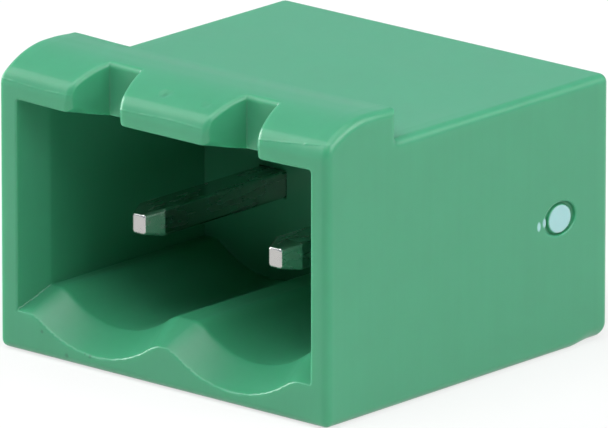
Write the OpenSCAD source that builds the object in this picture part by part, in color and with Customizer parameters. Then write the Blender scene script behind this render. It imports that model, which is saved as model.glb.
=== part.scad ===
// Two-pole board header of a pluggable terminal block: the socket half that is soldered to
// a circuit board. A moulded housing open at one end carries two flat pins, which are
// pressed through its rear wall and leave it as solder tails. All lengths are millimetres.
//
// The part lies on its floor side. The mouth of the socket faces -Y and the board face +Y,
// so the pins run along Y. The origin is the middle of the face that the part lies on.

/* [Poles] */
// Distance between the axes of the two pins
pitch = 5.08; // [4.6:0.02:6]
// Distance from the axis of a pin to the end face of the housing
end_margin = 3.53; // [3.4:0.01:4.5]
// Height of the pin axes above the face that the part lies on
pin_z = 3.86; // [3.5:0.01:4.2]

/* [Housing] */
// Depth of the housing, from the mouth to the board face
depth = 12; // [10.6:0.1:16]
// Height of the housing behind the latch band
body_h = 7.68; // [7.2:0.01:10]
// Thickness of each end wall
end_wall = 0.96; // [0.7:0.01:1.1]
// Thickness of the roof behind the latch band
roof = 0.6; // [0.4:0.05:1]
// Depth of the socket, from the mouth to its rear wall
socket_depth = 7.5; // [7:0.1:9.6]
// Radius of the moulding's outer edges
edge_r = 0.28; // [0.1:0.02:0.45]
// Radius of the upright edges beside the mouth
mouth_edge_r = 0.16; // [0.05:0.01:0.3]
// Radius of the edge between the floor side and the board face
heel_r = 0.5; // [0.1:0.05:1]

/* [Socket floor] */
// Radius of the two troughs, which clear the round clamp towers of the plug
trough_r = 3; // [2.6:0.05:3.1]
// Height of the axes of the troughs
trough_z = 4; // [3.8:0.05:4.4]
// Height of the flat lands beside the troughs
land_h = 1.78; // [1.4:0.01:2.2]
// Radius in the upper corners of the socket
socket_corner_r = 0.2; // [0.05:0.05:0.4]

/* [Lead-in of the mouth] */
// How far the end walls open outwards at the mouth
end_flare = 0.35; // [0.1:0.05:0.5]
// How far the lands and troughs open downwards at the mouth
floor_flare = 0.6; // [0.1:0.05:0.7]
// Depth of the lead-in on the end walls and the floor
flare_depth = 1.05; // [0.5:0.05:2]
// How far the roof opens upwards at the mouth
roof_flare = 0.24; // [0.05:0.01:0.4]
// Depth of the lead-in on the roof
roof_flare_depth = 1.3; // [0.5:0.1:2]

/* [Latch band] */
// Height of the band above the roof
band_h = 0.94; // [0.4:0.01:1.5]
// Depth of the band, from the mouth to its step
band_depth = 2.95; // [2.4:0.05:5]
// Depth of the rounded ramp at the front of the band
ramp_depth = 1.8; // [1:0.1:2]
// How far the ramp falls towards the mouth
ramp_drop = 0.65; // [0.3:0.05:0.7]
// Radius between the ramp and the front face
nose_r = 0.28; // [0.1:0.02:0.35]

/* [Coding notches] */
// Width of a notch at the mouth
notch_front_w = 1.85; // [1.5:0.05:2.4]
// Width of a notch at its rear end
notch_rear_w = 1.12; // [0.6:0.02:1.4]
// Depth of a notch
notch_depth = 1.3; // [0.6:0.1:1.9]
// Radius of the corners beside the mouth of a notch
notch_r = 0.22; // [0.05:0.01:0.35]

/* [Pins] */
// Width of a pin, across the poles
pin_w = 1; // [0.6:0.05:1.2]
// Thickness of a pin
pin_h = 0.8; // [0.6:0.05:1.2]
// Distance from the mouth back to the tips of the pins
pin_setback = 1.82; // [1:0.02:4]
// Length of the coined point at the socket end
tip_len = 0.6; // [0.3:0.05:1.5]
// Width of the flat at the end of the coined point
tip_w = 0.46; // [0.2:0.02:0.58]
// Thickness of the coined point at its end
tip_h = 0.58; // [0.2:0.02:0.58]
// Length of the solder tails behind the board face
tail_len = 3.5; // [2:0.1:5]
// Length of the point at the end of a solder tail
tail_tip_len = 0.6; // [0.2:0.05:1.5]
// Width of the flat at the end of a solder tail
tail_tip_w = 0.5; // [0.2:0.02:0.58]
// Thickness of a solder tail at its end
tail_tip_h = 0.4; // [0.2:0.02:0.58]
// Clearance between a pin and each wall of its hole
pin_fit = 0; // [0:0.005:0.02]
// Width of the chamfer round each hole on the board face
hole_chamfer = 0.2; // [0.05:0.05:0.4]

/* [Gate mark] */
// Radius of the round dimple that the moulding gate leaves in the right end face
gate_r = 0.6; // [0.3:0.02:0.9]
// Depth of the dimple
gate_depth = 0.16; // [0.05:0.01:0.3]
// Distance from the board face to the middle of the dimple
gate_setback = 2.2; // [1.5:0.1:3]
// Height of the middle of the dimple
gate_z = 3.92; // [2:0.02:5]

/* [Hidden] */
$fn = 96;
body_w = pitch + 2 * end_margin;
mouth_y = -depth / 2;
board_y = depth / 2;
pole_xs = [-pitch / 2, pitch / 2];
band_top = body_h + band_h;
ceiling_z = body_h - roof;
socket_half_w = body_w / 2 - end_wall;
ramp_r = (ramp_depth * ramp_depth + ramp_drop * ramp_drop) / (2 * ramp_drop);
pin_tip_y = mouth_y + pin_setback;
housing_green = [0.30, 0.64, 0.49];
tinned = [0.78, 0.78, 0.76];
past = 0.2;
cross_arc = 1.02;

// Carries a flat outline in X and Z along Y, from y0 to y1.
module along_y(y0, y1) {
    translate([0, y1, 0]) rotate([90, 0, 0]) linear_extrude(height = y1 - y0) children();
}

// Carries a flat outline in Y and Z along X, from x0 to x1.
module along_x(x0, x1) {
    translate([x0, 0, 0]) rotate([90, 0, 90]) linear_extrude(height = x1 - x0) children();
}

// What a rounded corner takes off a square one. The corner is at p, and turn gives the
// quadrant that the outline fills, counted from the one to the right of and above p.
module corner_scrap(p, r, turn) {
    translate(p) rotate(90 * turn) difference() {
        translate([-past, -past]) square(r + past);
        translate([r, r]) circle(r);
    }
}

// A rectangle whose corners have their own radii, counted from the lower left one
// anticlockwise. A radius of 0 leaves that corner square.
module rounded_rect(low, high, radii) {
    corners = [low, [high.x, low.y], high, [low.x, high.y]];
    difference() {
        translate(low) square(high - low);
        for (i = [0:3]) if (radii[i] > 0) corner_scrap(corners[i], radii[i], i);
    }
}

// The main block: its three rounded outlines, from above, the side and the front, are
// carried through each other.
module main_block() {
    half = [body_w / 2, depth / 2];
    intersection() {
        linear_extrude(height = body_h)
            rounded_rect(-half, half, [mouth_edge_r, mouth_edge_r, edge_r, edge_r]);
        along_x(-body_w / 2, body_w / 2)
            rounded_rect([mouth_y, 0], [board_y, body_h], [mouth_edge_r, heel_r, edge_r, 0]);
        along_y(mouth_y, board_y)
            rounded_rect([-half.x, 0], [half.x, body_h], [edge_r, edge_r, edge_r, edge_r]);
    }
}

// Side outline of the latch band: a flat top, a ramp that is one arc, and a small round
// nose that meets both the arc and the front face smoothly. It starts at the pin axes, so
// that it grows out of the main block.
module band_outline() {
    ramp_end = [mouth_y + ramp_depth, band_top - ramp_r];
    nose = [mouth_y + nose_r,
            ramp_end.y + sqrt(pow(ramp_r - nose_r, 2) - pow(ramp_depth - nose_r, 2))];
    touch = ramp_end + (nose - ramp_end) * ramp_r / (ramp_r - nose_r);
    difference() {
        union() {
            intersection() {
                translate([mouth_y, pin_z]) square([ramp_depth + past, band_top - pin_z]);
                translate(ramp_end) circle(ramp_r, $fn = 192);
            }
            translate([mouth_y + ramp_depth, pin_z])
                square([band_depth - ramp_depth, band_top - pin_z]);
        }
        difference() {
            polygon([nose, [mouth_y - past, nose.y], [mouth_y - past, band_top],
                     [touch.x, band_top], touch]);
            translate(nose) circle(nose_r);
        }
    }
}

// The latch band that the plug's hook snaps behind.
module latch_band() {
    half_w = body_w / 2;
    intersection() {
        along_x(-half_w, half_w) band_outline();
        translate([0, 0, pin_z]) linear_extrude(height = band_top - pin_z)
            rounded_rect([-half_w, mouth_y], [half_w, mouth_y + band_depth],
                         [mouth_edge_r, mouth_edge_r, 0, 0]);
        along_y(mouth_y, mouth_y + band_depth)
            rounded_rect([-half_w, pin_z], [half_w, band_top], [0, 0, edge_r, edge_r]);
    }
}

// The lower part of a round trough under a pole, up to the lands. It runs from y0 to y1
// and may be a cone.
module trough(x, y0, y1, r0, r1) {
    intersection() {
        translate([x, y0, trough_z]) rotate([-90, 0, 0])
            cylinder(r1 = r0, r2 = r1, h = y1 - y0);
        translate([x - 2 * trough_r, y0, 0]) cube([4 * trough_r, y1 - y0, land_h + past]);
    }
}

// The socket behind its lead-in: a rectangle over the lands, and a trough per pole.
module socket() {
    along_y(mouth_y - past, mouth_y + socket_depth)
        rounded_rect([-socket_half_w, land_h], [socket_half_w, ceiling_z],
                     [0, 0, socket_corner_r, socket_corner_r]);
    for (x = pole_xs)
        trough(x, mouth_y - past, mouth_y + socket_depth, trough_r, trough_r);
}

// The lead-in: the lands, the troughs and the roof open towards the mouth, between end
// walls that open as well. The slopes are carried on in front of the mouth, so that the
// cut leaves no skin.
module lead_in() {
    over = 1 + past / flare_depth;
    roof_over = 1 + past / roof_flare_depth;
    front_y = mouth_y - past;
    flare_y = mouth_y + flare_depth;
    roof_flare_y = mouth_y + roof_flare_depth;
    rear_y = max(flare_y, roof_flare_y) + past;
    flared_half_w = socket_half_w + end_flare * over;
    intersection() {
        linear_extrude(height = band_top)
            polygon([[-flared_half_w, front_y], [flared_half_w, front_y],
                     [socket_half_w, flare_y], [socket_half_w, rear_y],
                     [-socket_half_w, rear_y], [-socket_half_w, flare_y]]);
        union() {
            along_x(-body_w / 2, body_w / 2)
                polygon([[front_y, land_h - floor_flare * over], [flare_y, land_h],
                         [rear_y, land_h], [rear_y, ceiling_z], [roof_flare_y, ceiling_z],
                         [front_y, ceiling_z + roof_flare * roof_over]]);
            for (x = pole_xs)
                trough(x, front_y, flare_y, trough_r + floor_flare * over, trough_r);
        }
    }
}

// One coding notch through the front of the roof, with its front corners rounded. It is
// drawn round the pole's axis, with the mouth at y = 0, and runs up from z = 0. The arcs
// are a touch larger than true, so that they cross the faces and leave no sliver.
module coding_notch(height) {
    half_front = notch_front_w / 2;
    half_rear = notch_rear_w / 2;
    slant = atan((half_front - half_rear) / notch_depth);
    round_at = [half_front + notch_r * tan(45 - slant / 2), notch_r];
    linear_extrude(height = height)
        polygon([[-half_rear, notch_depth], [half_rear, notch_depth], [half_front, 0],
                 [half_front, -past], [-half_front, -past], [-half_front, 0]]);
    for (side = [0, 1]) mirror([side, 0, 0]) linear_extrude(height = height) difference() {
        polygon([[0, -past], [round_at.x, -past], round_at,
                 round_at - 1.5 * notch_r * [cos(slant), sin(slant)]]);
        translate(round_at) circle(cross_arc * notch_r);
    }
}

// The hole of one pin, with its chamfer on the board face.
module pin_hole(x) {
    half_w = pin_w / 2 + pin_fit;
    half_h = pin_h / 2 + pin_fit;
    flare = hole_chamfer + past;
    narrow_y = board_y - hole_chamfer;
    wide_y = board_y + past;
    translate([x - half_w, mouth_y + socket_depth - past, pin_z - half_h])
        cube([2 * half_w, depth - socket_depth + 2 * past, 2 * half_h]);
    intersection() {
        translate([x, 0, 0]) linear_extrude(height = body_h)
            polygon([[-half_w, narrow_y], [half_w, narrow_y],
                     [half_w + flare, wide_y], [-half_w - flare, wide_y]]);
        translate([0, 0, pin_z]) along_x(-body_w / 2, body_w / 2)
            polygon([[narrow_y, -half_h], [wide_y, -half_h - flare],
                     [wide_y, half_h + flare], [narrow_y, half_h]]);
    }
}

// The dimple of the moulding gate: a ball that dips into the right end face.
module gate_dimple() {
    ball_r = (gate_r * gate_r + gate_depth * gate_depth) / (2 * gate_depth);
    translate([body_w / 2 + ball_r - gate_depth, board_y - gate_setback, gate_z])
        sphere(ball_r);
}

module housing() {
    color(housing_green) difference() {
        union() {
            main_block();
            latch_band();
        }
        socket();
        lead_in();
        for (x = pole_xs) {
            translate([x, mouth_y, ceiling_z - past])
                coding_notch(band_top - ceiling_z + 2 * past);
            pin_hole(x);
        }
        gate_dimple();
    }
}

// Outline of a pin from above or from the side: a straight wire with a point at each end.
// It is drawn with its length along Y, and its three widths are halved across the axis.
module pin_outline(wire, tip, tail_tip) {
    tail_end = board_y + tail_len;
    polygon([[-tip / 2, pin_tip_y], [tip / 2, pin_tip_y],
             [wire / 2, pin_tip_y + tip_len], [wire / 2, tail_end - tail_tip_len],
             [tail_tip / 2, tail_end], [-tail_tip / 2, tail_end],
             [-wire / 2, tail_end - tail_tip_len], [-wire / 2, pin_tip_y + tip_len]]);
}

// One pin: its two outlines carried through each other, which leaves four flat sides and
// four flat slopes at each point.
module contact_pin(x) {
    color(tinned) translate([x, 0, pin_z]) intersection() {
        translate([0, 0, -pin_h / 2]) linear_extrude(height = pin_h)
            pin_outline(pin_w, tip_w, tail_tip_w);
        rotate([0, 90, 0]) translate([0, 0, -pin_w / 2]) linear_extrude(height = pin_w)
            pin_outline(pin_h, tip_h, tail_tip_h);
    }
}

module contact_pin_left() {
    contact_pin(pole_xs[0]);
}

module contact_pin_right() {
    contact_pin(pole_xs[1]);
}

housing();
contact_pin_left();
contact_pin_right();
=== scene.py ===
# %% [markdown]
# # A two-pole board header
# This lesson dresses a small green connector: the socket half of a pluggable terminal block,
# which is soldered to a circuit board. The solid from the CAD step gives every size. Here the
# housing gets the soft edges, marks and sheen of moulded plastic, and the pins the rounded
# edges of drawn, tinned wire. Lengths inside the shapes are millimetres, as on a drawing of
# such a part, and they become metres when a mesh is made.

import bpy
import numpy as np
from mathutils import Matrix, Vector


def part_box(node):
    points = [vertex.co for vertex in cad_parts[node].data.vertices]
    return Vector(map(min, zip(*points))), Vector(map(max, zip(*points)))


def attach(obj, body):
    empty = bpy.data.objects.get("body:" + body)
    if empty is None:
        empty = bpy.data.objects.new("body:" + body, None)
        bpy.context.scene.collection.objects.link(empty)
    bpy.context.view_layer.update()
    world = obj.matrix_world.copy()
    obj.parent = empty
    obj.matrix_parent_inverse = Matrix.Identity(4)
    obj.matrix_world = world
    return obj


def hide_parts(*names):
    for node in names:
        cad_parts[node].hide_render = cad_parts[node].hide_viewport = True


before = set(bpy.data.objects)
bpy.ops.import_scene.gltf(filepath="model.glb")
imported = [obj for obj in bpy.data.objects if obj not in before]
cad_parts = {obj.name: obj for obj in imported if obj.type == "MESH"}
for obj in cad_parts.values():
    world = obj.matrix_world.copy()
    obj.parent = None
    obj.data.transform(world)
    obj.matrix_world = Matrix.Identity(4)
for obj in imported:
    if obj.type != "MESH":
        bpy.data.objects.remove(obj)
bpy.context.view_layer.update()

MM = 0.001
body_low, body_high = (np.array(corner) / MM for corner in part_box("housing"))
print("housing, mm:", body_low.round(2), body_high.round(2))

# %% [markdown]
# ## Shapes as fields
# A moulded part is a set of plain forms that are cut from each other and whose edges are all
# a little round. A signed field says for each point how far it lies outside a form, and is
# negative inside. Cutting and joining are then minimum and maximum, and a rounded minimum or
# maximum gives the round edge at once, along every edge and in every corner. This suits a
# housing better than bevelling a mesh, where three meeting bevels often tear.


# %% Joining and cutting fields
def both(a, b, r):
    """The room that two forms share, with a round outer edge.

    Further than r from the edge this is the larger of a and b. Nearer, it is the distance
    to a quarter circle of radius r that touches both faces.
    """
    return np.minimum(-r, np.maximum(a, b)) + np.hypot(np.maximum(r + a, 0), np.maximum(r + b, 0))


def either(a, b, r):
    """Two forms joined, with a hollow fillet of radius r where they meet."""
    return np.maximum(r, np.minimum(a, b)) - np.hypot(np.maximum(r - a, 0), np.maximum(r - b, 0))


def without(a, b, r):
    """Form a with form b cut out of it. The rim of the cut is rounded with radius r."""
    return both(a, -b, r)


def fade(x, start, end):
    """A smooth step: 0 before start, 1 past end, and the cubic 3 t^2 - 2 t^3 between."""
    t = np.clip((x - start) / (end - start), 0, 1)
    return t * t * (3 - 2 * t)


# %% [markdown]
# ## From a field to a mesh
# The field is worked out on a grid of points whose lines lie close together where edges are,
# and far apart over flat faces. Each grid cell that the surface passes through gets one
# vertex, and each grid edge that it crosses gets one four-sided face between the four cells
# round that edge. The vertices are then moved down the slope of the field until they lie on
# the surface, and the slope also gives each vertex its exact normal.


# %% Grid lines
def lines(*spans):
    """Grid positions along one axis. Each span is (start, end, largest step)."""
    cuts = [np.linspace(a, b, int(np.ceil((b - a) / step - 1e-9)) + 1) for a, b, step in spans]
    return np.unique(np.concatenate(cuts).round(6))


def mirrored(half):
    """Grid lines on both sides of zero from those on one side."""
    return np.unique(np.concatenate([-half, half]))


# %% The skin of a field
newton_steps, longest_move = 5, 0.06


def slope(field, p, h=0.002):
    """Gradient of the field at the points p, from differences over a length of 2 h."""
    steps = np.eye(3) * h
    return np.stack([field(*(p + s).T) - field(*(p - s).T) for s in steps], 1) / (2 * h)


def skin(field, xs, ys, zs):
    """Vertices, faces and normals of the surface on which the field is zero.

    Each crossed cell holds the mean of the points where its twelve edges are crossed.
    Newton steps p - f g / |g|^2 then carry every vertex onto the surface.
    """
    f = field(*np.meshgrid(xs, ys, zs, indexing="ij"))
    inside = f < 0
    axes = (xs, ys, zs)
    cells = tuple(n - 1 for n in f.shape)
    total = np.zeros(cells + (3,))
    count = np.zeros(cells)
    crossings = []
    for a in range(3):
        fore = [slice(None)] * 3
        back = [slice(None)] * 3
        fore[a], back[a] = slice(1, None), slice(None, -1)
        f0, f1 = f[tuple(back)], f[tuple(fore)]
        crossed = inside[tuple(back)] != inside[tuple(fore)]
        t = np.where(crossed, f0 / np.where(crossed, f0 - f1, 1), 0)
        starts = [v[:-1] if k == a else v for k, v in enumerate(axes)]
        spot = list(np.meshgrid(*starts, indexing="ij"))
        span = np.diff(axes[a]).reshape([-1 if k == a else 1 for k in range(3)])
        spot[a] = spot[a] + t * span
        spot = np.stack(spot, -1)
        others = [k for k in range(3) if k != a]
        for d0 in (0, 1):
            for d1 in (0, 1):
                pick = [slice(None)] * 3
                pick[others[0]] = slice(d0, d0 + cells[others[0]])
                pick[others[1]] = slice(d1, d1 + cells[others[1]])
                hit = crossed[tuple(pick)]
                total += np.where(hit[..., None], spot[tuple(pick)], 0)
                count += hit
        crossings.append((a, others, crossed, inside[tuple(back)]))
    used = count > 0
    index = np.full(cells, -1)
    index[used] = np.arange(used.sum())
    p = total[used] / count[used][:, None]
    faces = []
    for a, others, crossed, starts_inside in crossings:
        inner = [slice(None)] * 3
        for k in others:
            inner[k] = slice(1, -1)
        hit = np.argwhere(crossed[tuple(inner)])
        outward = starts_inside[tuple(inner)][tuple(hit.T)]
        hit[:, others] += 1
        ring = []
        for d0, d1 in ((0, 0), (1, 0), (1, 1), (0, 1)):
            cell = hit.copy()
            cell[:, others[0]] -= d0
            cell[:, others[1]] -= d1
            ring.append(index[tuple(cell.T)])
        ring = np.stack(ring, 1)
        if a == 1:
            outward = ~outward
        faces.append(np.where(outward[:, None], ring, ring[:, ::-1]))
    for _ in range(newton_steps):
        g = slope(field, p)
        move = (field(*p.T) / np.maximum((g * g).sum(1), 0.2))[:, None] * g
        p = p - np.clip(move, -longest_move, longest_move)
    g = slope(field, p)
    return p, np.concatenate(faces), g / np.linalg.norm(g, axis=1)[:, None]


# %% Making the piece
def piece(name, points, faces, normals, node, slot):
    """A mesh object in metres that rides on the part and stands for one CAD node."""
    mesh = bpy.data.meshes.new(name)
    mesh.from_pydata((points * MM).tolist(), [], faces.tolist())
    mesh.polygons.foreach_set("use_smooth", np.ones(len(faces), bool))
    mesh.normals_split_custom_set_from_vertices(normals.tolist())
    made = bpy.data.objects.new(name, mesh)
    bpy.context.scene.collection.objects.link(made)
    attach(made, "root")
    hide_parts(node)
    print(name, "has", len(points), "vertices and", len(faces), "faces")
    return made


# %% [markdown]
# ## The housing
# The housing is one moulding. Its block and latch band are joined first. The socket, its
# lead-in, the scalloped floor and the two coding notches are then cut out of them, as the
# steel core does in the mould.

# %% Sizes of the housing
half_w, mouth_y, board_y = body_high[0], body_low[1], body_high[1]
band_top = body_high[2]
body_h = 7.68
pitch = 5.08
poles = (-pitch / 2, pitch / 2)
pin_z = 3.86
pin_half_w, pin_half_h = 0.5, 0.4
socket_half_w, land_z, ceiling_z = 5.11, 1.78, 7.05
trough_z, trough_r = 4, 3
floor_lead, roof_lead = 1.05, 1.3
rear_y = mouth_y + 7.5
band_y = mouth_y + 2.95
ramp_y, ramp_r = mouth_y + 1.8, 2.817
notch_y, notch_half_w, notch_slant = mouth_y + 1.3, 0.56, 0.281
left_r, right_r, rear_r, edge_r, heel_r = 0.11, 0.24, 0.28, 0.26, 0.48
gate_y, gate_z, gate_depth = 3.85, 3.92, 0.13
stub_y, stub_z = gate_y + 0.02, gate_z - 0.02
flake_spots = ((2.94, 3.87, 0.06, 0.1), (3.17, 3.93, 0.07, 0.15))
dent_spots = ((-0.38, -5.52, 8.58, 0.3), (1.17, -5.55, 8.52, 0.23))
print("housing half width, mouth and board faces, mm:", half_w, mouth_y, board_y)


# %% The block and its latch band
def block(x, y, z):
    """A box with round edges, and on its front top the band: a ramp, a flat and a step.

    The ramp is a quarter cylinder along x. The mould has worn at the front right edge, so
    that edge is rounder than the left one, and the heel at the rear of the floor side is
    rounder still.
    """
    front_r = left_r + (right_r - left_r) * fade(x, -1, 1)
    upright = both(both(np.abs(x) - half_w, mouth_y - y, front_r), y - board_y, rear_r)
    run = np.minimum(y - ramp_y, 0)
    rise = z - (band_top - ramp_r) + 0.045 * fade(y, -3.9, -3.1)
    ramp = np.hypot(run, np.maximum(rise, 0)) - ramp_r
    top = either(z - body_h, both(ramp, y - band_y, 0.06), 0.03)
    floor_r = edge_r + (heel_r - edge_r) * fade(y, 4.4, 5.4)
    return both(both(upright, top, edge_r), -z, floor_r)


# %% The socket
def bend(t, w=0.06):
    """Zero where t is well below 0, t where it is well above, and a smooth bend between."""
    return (t + np.hypot(t, w)) / 2


def socket(x, y, z):
    """The hollow for the plug: two troughs under a box, all opening towards the mouth.

    The walls slope outwards near the mouth, and each slope starts with a small bend. A slope
    makes a field steeper, so the factors below 1 bring it back to a distance.
    """
    open_floor = bend(mouth_y + floor_lead - y) / floor_lead
    open_roof = bend(mouth_y + roof_lead - y) / roof_lead
    slant = 1 - 0.13 * fade(open_floor, 0, 0.15)
    sides = (np.abs(x) - socket_half_w - 0.35 * open_floor) * 0.95
    roof = (z - ceiling_z - 0.27 * open_roof) * 0.98
    floor = (land_z - 0.6 * open_floor - z) * slant
    for x0 in poles:
        trough = (np.hypot(x - x0, z - trough_z) - trough_r - 0.6 * open_floor) * slant
        floor = either(floor, trough, 0.16)
    room = both(both(sides, roof, 0.1), floor, 0.02)
    return both(room, y - rear_y, 0.02)


# %% The coding notches
def notches(x, y, z):
    """Two slots through the front of the roof, narrower towards the rear."""
    cut = np.inf
    for x0 in poles:
        width = notch_half_w + (notch_y - y) * notch_slant
        slot = both((np.abs(x - x0) - width) * 0.963, y - notch_y, 0.015)
        cut = np.minimum(cut, slot)
    return np.maximum(cut, 6.6 - z)


# %% The gate mark and the pin holes
def gate(x, y, z):
    """The oval pocket in the right end face round the stub where the moulding broke off."""
    oval = np.hypot((y - gate_y) / 0.67, (z - gate_z) / 0.48)
    stub = np.hypot((y - stub_y) / 0.5, (z - stub_z) / 0.42)
    pocket = both((oval - 1) * 0.5, half_w - gate_depth - x, 0.05)
    return without(pocket, both((stub - 1) * 0.45, x - half_w + 0.015, 0.07), 0.03)


def holes(x, y, z):
    """The pins' holes through the rear wall, a hair wider than the pins, flared at the rear."""
    cut = np.inf
    reach = 0.005 + np.maximum(y - board_y + 0.2, 0)
    for x0 in poles:
        side = np.maximum(np.abs(x - x0) - pin_half_w - reach, np.abs(z - pin_z) - pin_half_h - reach)
        cut = np.minimum(cut, side)
    return np.maximum(cut, rear_y - 0.3 - y)


# %% Small marks of the mould
def flash(x, y, z):
    """Height of the thin seam that runs along the noses of the tongues, in millimetres.

    The seam climbs towards the right end, and three sines of unrelated lengths break it up.
    """
    seam_z = 7.8 + 0.02 * np.sin(1.9 * x + 1) + 0.3 * fade(x, 2.6, 6.4)
    ragged = 0.55 + 0.25 * np.sin(7.3 * x) + 0.2 * np.sin(17.9 * x + 2) + 0.15 * np.sin(31.7 * x)
    return 0.014 * ragged * np.exp(-((z - seam_z) / 0.028) ** 2) * (1 - fade(y, -5.9, -5.6))


def flakes(x, y, z):
    """Two flakes of plastic, ripped loose, that stand up at the edge of the gate pocket."""
    x = (x - half_w + 0.02) / 0.05
    far = np.inf
    for y0, z0, half_y, half_z in flake_spots:
        far = np.minimum(far, np.sqrt(x ** 2 + ((y - y0) / half_y) ** 2 + ((z - z0) / half_z) ** 2))
    return (far - 1) * 0.06


def dents(x, y, z):
    """Two shallow round dents in the ramp of the middle tongue."""
    cut = np.inf
    for x0, y0, z0, r in dent_spots:
        cut = np.minimum(cut, np.sqrt((x - x0) ** 2 + (y - y0) ** 2 + (z - z0) ** 2) - r)
    return cut


# %% The whole moulding
def housing_field(x, y, z):
    """Block and band, less the socket, the notches, the pin holes and the marks.

    The front of the roof has sunk a little in the middle while it cooled, so heights there
    are read a little too high before the forms are worked out.
    """
    slack = np.clip(1 - (x / 5.5) ** 4, 0, 1) * fade(z, 5, 7) * (1 - fade(y, -2, 3))
    z = z + 0.05 * slack
    high = fade(z, 7.35, 7.7)
    f = without(block(x, y, z) - flash(x, y, z), socket(x, y, z), 0.02 + 0.03 * fade(z, 1.5, 2.4))
    f = without(f, notches(x, y, z), 0.2 - 0.06 * high - 0.18 * (1 - high) * fade(y, -5.7, -5.2))
    f = without(f, dents(x, y, z), 0.06)
    f = without(f, holes(x, y, z), 0.02)
    return np.minimum(without(f, gate(x, y, z), 0.04), flakes(x, y, z))


# %% Meshing the housing
x_lines = mirrored(lines(
    (0, 0.2, 0.1), (0.2, 0.7, 0.07), (0.7, 1.35, 0.11), (1.35, 1.94, 0.06), (1.94, 2.02, 0.02),
    (2.02, 2.1, 0.04), (2.1, 3, 0.12), (3, 3.06, 0.03), (3.06, 3.14, 0.02), (3.14, 3.75, 0.06),
    (3.75, 4.4, 0.11), (4.4, 5.06, 0.08), (5.06, 5.16, 0.02), (5.16, 5.55, 0.06),
    (5.55, 5.8, 0.09), (5.8, half_w + 0.04, 0.04)))
y_lines = lines(
    (mouth_y - 0.04, -5.6, 0.04), (-5.6, -5.1, 0.07), (-5.1, -4.8, 0.04), (-4.8, -4.74, 0.03),
    (-4.74, -4.66, 0.02), (-4.66, -4, 0.13), (-4, -3.2, 0.2), (-3.2, -2.95, 0.03),
    (-2.95, 1.2, 0.35), (1.2, 1.46, 0.065), (1.46, 1.54, 0.02), (1.54, 3, 0.3), (3, 3.24, 0.04),
    (3.24, 4.44, 0.07), (4.44, 4.6, 0.04), (4.6, 5.4, 0.2), (5.4, board_y + 0.05, 0.06))
z_lines = lines(
    (-0.05, 0.3, 0.05), (0.3, 1.9, 0.08), (1.9, 3.36, 0.3), (3.36, 3.56, 0.04),
    (3.56, 4.28, 0.07), (4.28, 4.48, 0.04), (4.48, 6.6, 0.35), (6.6, 7, 0.1), (7, 7.3, 0.04),
    (7.3, 7.7, 0.06), (7.7, 8.16, 0.023), (8.16, 8.4, 0.06), (8.4, band_top + 0.04, 0.04))
print("grid lines:", len(x_lines), len(y_lines), len(z_lines))
housing = piece("housing_moulding", *skin(housing_field, x_lines, y_lines, z_lines),
                "housing", "moulded_plastic")

# %% [markdown]
# ## The pins
# Each pin is a length of flat-sided tinned wire. Drawing through a die leaves its long edges
# round, and a coining tool presses a blunt point on each end.

# %% One pin
tip_y, tail_y, point = mouth_y + 1.82, 9.5, 0.6


def pin_field(x, y, z):
    """A bar 1.0 by 0.8 with round edges, whose four sides slope in at both ends."""
    near = np.maximum(tip_y + point - y, 0)
    far = np.maximum(y - tail_y + point, 0)
    wide = np.abs(x) - pin_half_w + 0.45 * near + 0.42 * far
    high = np.abs(z - pin_z) - pin_half_h + 0.183 * near + 0.33 * far
    sloped = near + far > 0
    bar = both(wide * np.where(sloped, 0.91, 1), high * np.where(sloped, 0.96, 1), 0.1)
    return both(both(bar, tip_y - y, 0.06), y - tail_y, 0.06)


# %% Meshing the pins
def pin_mesh(name, x0, node):
    """The pin field moved to its pole and given a mesh."""
    xs = mirrored(lines((0.02, 0.18, 0.08), (0.18, 0.54, 0.03)))
    ys = lines((tip_y - 0.04, tip_y + 0.8, 0.04), (tip_y + 0.8, tail_y - 0.8, 0.5),
               (tail_y - 0.8, tail_y + 0.04, 0.05))
    zs = lines((pin_z - 0.44, pin_z - 0.18, 0.03), (pin_z - 0.18, pin_z + 0.18, 0.06),
               (pin_z + 0.18, pin_z + 0.44, 0.03))
    points, faces, normals = skin(pin_field, xs, ys, zs)
    return piece(name, points + [x0, 0, 0], faces, normals, node, "tinned_wire")


pin_left = pin_mesh("pin_left_wire", poles[0], "contact_pin_left")
pin_right = pin_mesh("pin_right_wire", poles[1], "contact_pin_right")

# %% [markdown]
# ## Shader maths in Python
# A material's pattern is a chain of nodes. A small class wraps a node's socket, so that the
# chain can be written as an expression, and one method adds any other node.


# %% A socket that knows arithmetic
class Wire:
    """A shader socket, or a plain number, that adds Math nodes when it is calculated with."""

    def __init__(self, tree, value):
        self.tree, self.value = tree, value

    def node(self, kind, settings=None, **sockets):
        """Adds a node, sets it up, fills its sockets, and returns it."""
        made = self.tree.nodes.new(kind)
        for key, setting in (settings or {}).items():
            setattr(made, key, setting)
        for key, given in sockets.items():
            place = int(key[1:]) if key[1:].isdigit() else key.replace("_", " ")
            self.plug(made.inputs[place], given)
        return made

    def plug(self, socket, given):
        """Links a wire to a socket, or writes a plain value into it."""
        given = given.value if isinstance(given, Wire) else given
        if isinstance(given, bpy.types.NodeSocket):
            self.tree.links.new(given, socket)
        else:
            socket.default_value = given

    def math(self, operation, other, swap=False):
        """One Math node for an operation with another wire or number."""
        a, b = (other, self) if swap else (self, other)
        made = self.node("ShaderNodeMath", {"operation": operation}, _0=a, _1=b)
        return Wire(self.tree, made.outputs[0])

    def __add__(self, other):
        return self.math("ADD", other)

    __radd__ = __add__

    def __mul__(self, other):
        return self.math("MULTIPLY", other)

    __rmul__ = __mul__

    def __sub__(self, other):
        return self.math("SUBTRACT", other)

    def __rsub__(self, other):
        return self.math("SUBTRACT", other, swap=True)
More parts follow.
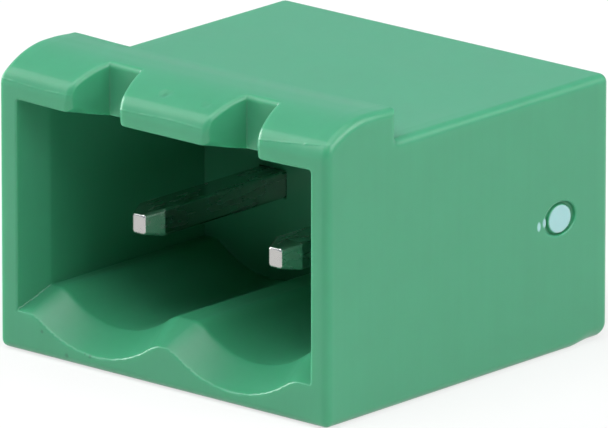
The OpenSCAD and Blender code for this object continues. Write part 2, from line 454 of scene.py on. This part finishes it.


# %% [markdown]
# ## Materials
# The housing is green polyamide, a slightly cloudy plastic with a soft sheen. Its colour and
# sheen vary a little, a few dark specks are painted on its front and ramp, and a painted
# highlight makes it pale where it tore off at the gate. The pins are tin plate.


# %% Starting a material
def start(name, colour, roughness, **constants):
    """A material with one Principled shader, and a wire to work with."""
    made = bpy.data.materials.new(name)
    made.use_nodes = True
    shader = made.node_tree.nodes["Principled BSDF"]
    shader.inputs["Base Color"].default_value = (*colour, 1)
    shader.inputs["Roughness"].default_value = roughness
    for key, given in constants.items():
        shader.inputs[key.replace("_", " ")].default_value = given
    return made, shader, Wire(made.node_tree, None)


def noise(wire, scale, detail=2.0, stretch=(1, 1, 1)):
    """Smooth noise on the piece's own coordinates, with about scale lumps per metre."""
    place = wire.node("ShaderNodeTexCoord").outputs["Object"]
    turned = wire.node("ShaderNodeMapping", Vector=place, Scale=stretch).outputs[0]
    made = wire.node("ShaderNodeTexNoise", Vector=turned, Scale=scale, Detail=detail)
    return Wire(wire.tree, made.outputs["Fac"])


def blend(wire, factor, first, second):
    """The colour that lies between two others, the first at factor 0 and the second at 1."""
    made = wire.node("ShaderNodeMix", {"data_type": "RGBA"}, Factor=factor, _6=first, _7=second)
    return made.outputs[2]


# %% Masks on the piece's own coordinates
def place_of(wire):
    """The point that is shaded, in millimetres."""
    metres = wire.node("ShaderNodeTexCoord").outputs["Object"]
    made = wire.node("ShaderNodeVectorMath", {"operation": "SCALE"}, Vector=metres, Scale=1000)
    return made.outputs[0]


def oval(wire, place, centre, sizes):
    """Distance from a centre in units of the half widths, so that it is 1 on the ellipsoid."""
    across = tuple(1 / size for size in sizes)
    middle = tuple(c / size for c, size in zip(centre, sizes))
    scaled = wire.node("ShaderNodeVectorMath", {"operation": "MULTIPLY"}, _0=place, _1=across)
    far = wire.node("ShaderNodeVectorMath", {"operation": "DISTANCE"},
                    _0=scaled.outputs[0], _1=middle)
    return Wire(wire.tree, far.outputs["Value"])


def inside(distance, soft):
    """1 in the oval and 0 outside, over a soft border."""
    return ((1 - distance) * (1 / soft)).math("MAXIMUM", 0.0).math("MINIMUM", 1.0)


# %% The green plastic
green, deep, bright = (0.046, 0.29, 0.152), (0.042, 0.27, 0.140, 1), (0.050, 0.31, 0.164, 1)
# Next: a painted highlight for the gate stub, and the colour of the dark specks.
gate_glint_colour, speck_colour = (0.36, 0.60, 0.62, 1), (0.012, 0.09, 0.05, 1)
specks = ((-4.36, -6, 0.98, 0.06), (-4.51, -6, 0.75, 0.07), (-3.58, -6, 0.24, 0.09),
          (-2.71, -6, 0.38, 0.08), (-2.9, -6, 0.42, 0.05), (-1.39, -6, 1.04, 0.08),
          (1.99, -6, 0.87, 0.1), (-0.38, -5.45, 8.32, 0.13))
plastic, shader, wire = start("green_polyamide", green, 0.32, Subsurface_Weight=0.5,
                              Subsurface_Radius=(0.4, 1.0, 0.7), Subsurface_Scale=0.0008)
place = place_of(wire)
cloud = noise(wire, 700, 3)
streak = noise(wire, 5000, 2, (1, 1, 0.04))
shade = blend(wire, 0.6 * cloud + 0.4 * streak, deep, bright)
# Painted highlight: a pale bluish colour on the gate stub and its flakes stands in for their glint.
gate_glint_mask = inside(oval(wire, place, (half_w - 0.02, stub_y, stub_z), (0.09, 0.5, 0.42)), 0.12)
for y, z, *_ in flake_spots:
    gate_glint_mask = gate_glint_mask + inside(oval(wire, place, (half_w, y, z), (0.08, 0.09, 0.16)), 0.4)
shade = blend(wire, gate_glint_mask.math("MINIMUM", 1.0) * 0.9, shade, gate_glint_colour)
# Dark specks are painted along the front rim of the floor, and one in a dent of the ramp.
dark = sum(inside(oval(wire, place, spot[:3], spot[3:] * 3), 0.7) for spot in specks)
shade = blend(wire, dark.math("MINIMUM", 1.0) * 0.55, shade, speck_colour)
wire.plug(shader.inputs["Base Color"], shade)
wire.plug(shader.inputs["Roughness"], 0.28 + 0.08 * cloud)
housing.data.materials.append(plastic)

# %% The tinned wire
tin, shader, wire = start("tin_plate", (0.50, 0.49, 0.475), 0.22, Metallic=1.0)
drawn = noise(wire, 4000, 2, (1, 0.2, 1))
wire.plug(shader.inputs["Roughness"], 0.1 + 0.3 * drawn)
for pin in (pin_left, pin_right):
    pin.data.materials.append(tin)

# %% [markdown]
# ## Floor, light and camera
# The part lies on a white table between seven soft lights, as in a small light tent. The
# camera and mirror reflections see the table and the tent shine.

# %% The floor
floor_mesh = bpy.data.meshes.new("floor")
reach, level = 3, -2e-5
corners = [(-reach, -reach, level), (reach, -reach, level), (reach, reach, level), (-reach, reach, level)]
floor_mesh.from_pydata(corners, [], [(0, 1, 2, 3)])
floor = bpy.data.objects.new("floor", floor_mesh)
bpy.context.scene.collection.objects.link(floor)
paper, shader, wire = start("white_paper", (0.8, 0.8, 0.8), 0.9)
rays = wire.node("ShaderNodeLightPath")
glow = wire.node("ShaderNodeEmission", Color=(1, 1, 1, 1), Strength=1.0)
seen = Wire(wire.tree, rays.outputs["Is Camera Ray"]) + Wire(wire.tree, rays.outputs["Is Glossy Ray"])
seen = seen + Wire(wire.tree, rays.outputs["Is Transmission Ray"])
mixed = wire.node("ShaderNodeMixShader", _0=seen.math("MINIMUM", 1.0) * 0.7,
                  _1=shader.outputs[0], _2=glow.outputs[0])
out = paper.node_tree.nodes["Material Output"]
paper.node_tree.links.new(mixed.outputs[0], out.inputs["Surface"])
floor_mesh.materials.append(paper)

# %% The world
world = bpy.data.worlds.new("light_tent")
bpy.context.scene.world = world
world.use_nodes = True
sky = Wire(world.node_tree, None)
rays = sky.node("ShaderNodeLightPath")
camera_ray = Wire(sky.tree, rays.outputs["Is Camera Ray"])
mirror_ray = (Wire(sky.tree, rays.outputs["Is Glossy Ray"])
              + Wire(sky.tree, rays.outputs["Is Transmission Ray"]))
background = world.node_tree.nodes["Background"]
tint = blend(sky, camera_ray, (0.8, 0.9, 1.0, 1), (1, 1, 1, 1))
sky.plug(background.inputs["Color"], tint)
sky.plug(background.inputs["Strength"], camera_ray + 0.6 * mirror_ray)


# %% The lamps
lamp_distance = 0.5


def direction(azimuth, elevation):
    """Unit vector out from the part. Azimuth 0 is in front of the mouth, 90 at the right."""
    a, e = np.radians((azimuth, elevation))
    return Vector((np.sin(a) * np.cos(e), -np.cos(a) * np.cos(e), np.sin(e)))


def softbox(name, azimuth, elevation, size, watts):
    """A square area lamp that faces the part, with its side in metres."""
    place = direction(azimuth, elevation) * lamp_distance
    lamp = bpy.data.lights.new(name, "AREA")
    lamp.shape, lamp.size, lamp.energy = "SQUARE", size, watts
    made = bpy.data.objects.new(name, lamp)
    made.location = place
    made.rotation_mode = "QUATERNION"
    made.rotation_quaternion = place.to_track_quat("Z", "Y")
    bpy.context.scene.collection.objects.link(made)


softbox("overhead", 0, 88, 0.45, 0.95)
softbox("behind_right", 125, 35, 0.3, 1.1)
softbox("right", 85, 35, 0.3, 1.05)
softbox("above_camera", 41, 65, 0.3, 0.4)
softbox("front", -10, 58, 0.3, 0.9)
softbox("left", -60, 40, 0.3, 0.5)
softbox("low_left", -75, 12, 0.32, 2.6)

# %% The camera
toward = direction(41.33, 16.18)
target, camera_distance = Vector((-0.050, 0, 3.716)), 384.2
camera = bpy.data.objects.new("camera", bpy.data.cameras.new("camera"))
camera.data.sensor_width = 36
camera.data.lens = 813.85
camera.location = target * MM + toward * camera_distance * MM
camera.rotation_mode = "QUATERNION"
camera.rotation_quaternion = toward.to_track_quat("Z", "Y")
camera.data.clip_start, camera.data.clip_end = 0.01, 20
bpy.context.scene.collection.objects.link(camera)
bpy.context.scene.camera = camera
bpy.context.scene.view_settings.view_transform = "Standard"
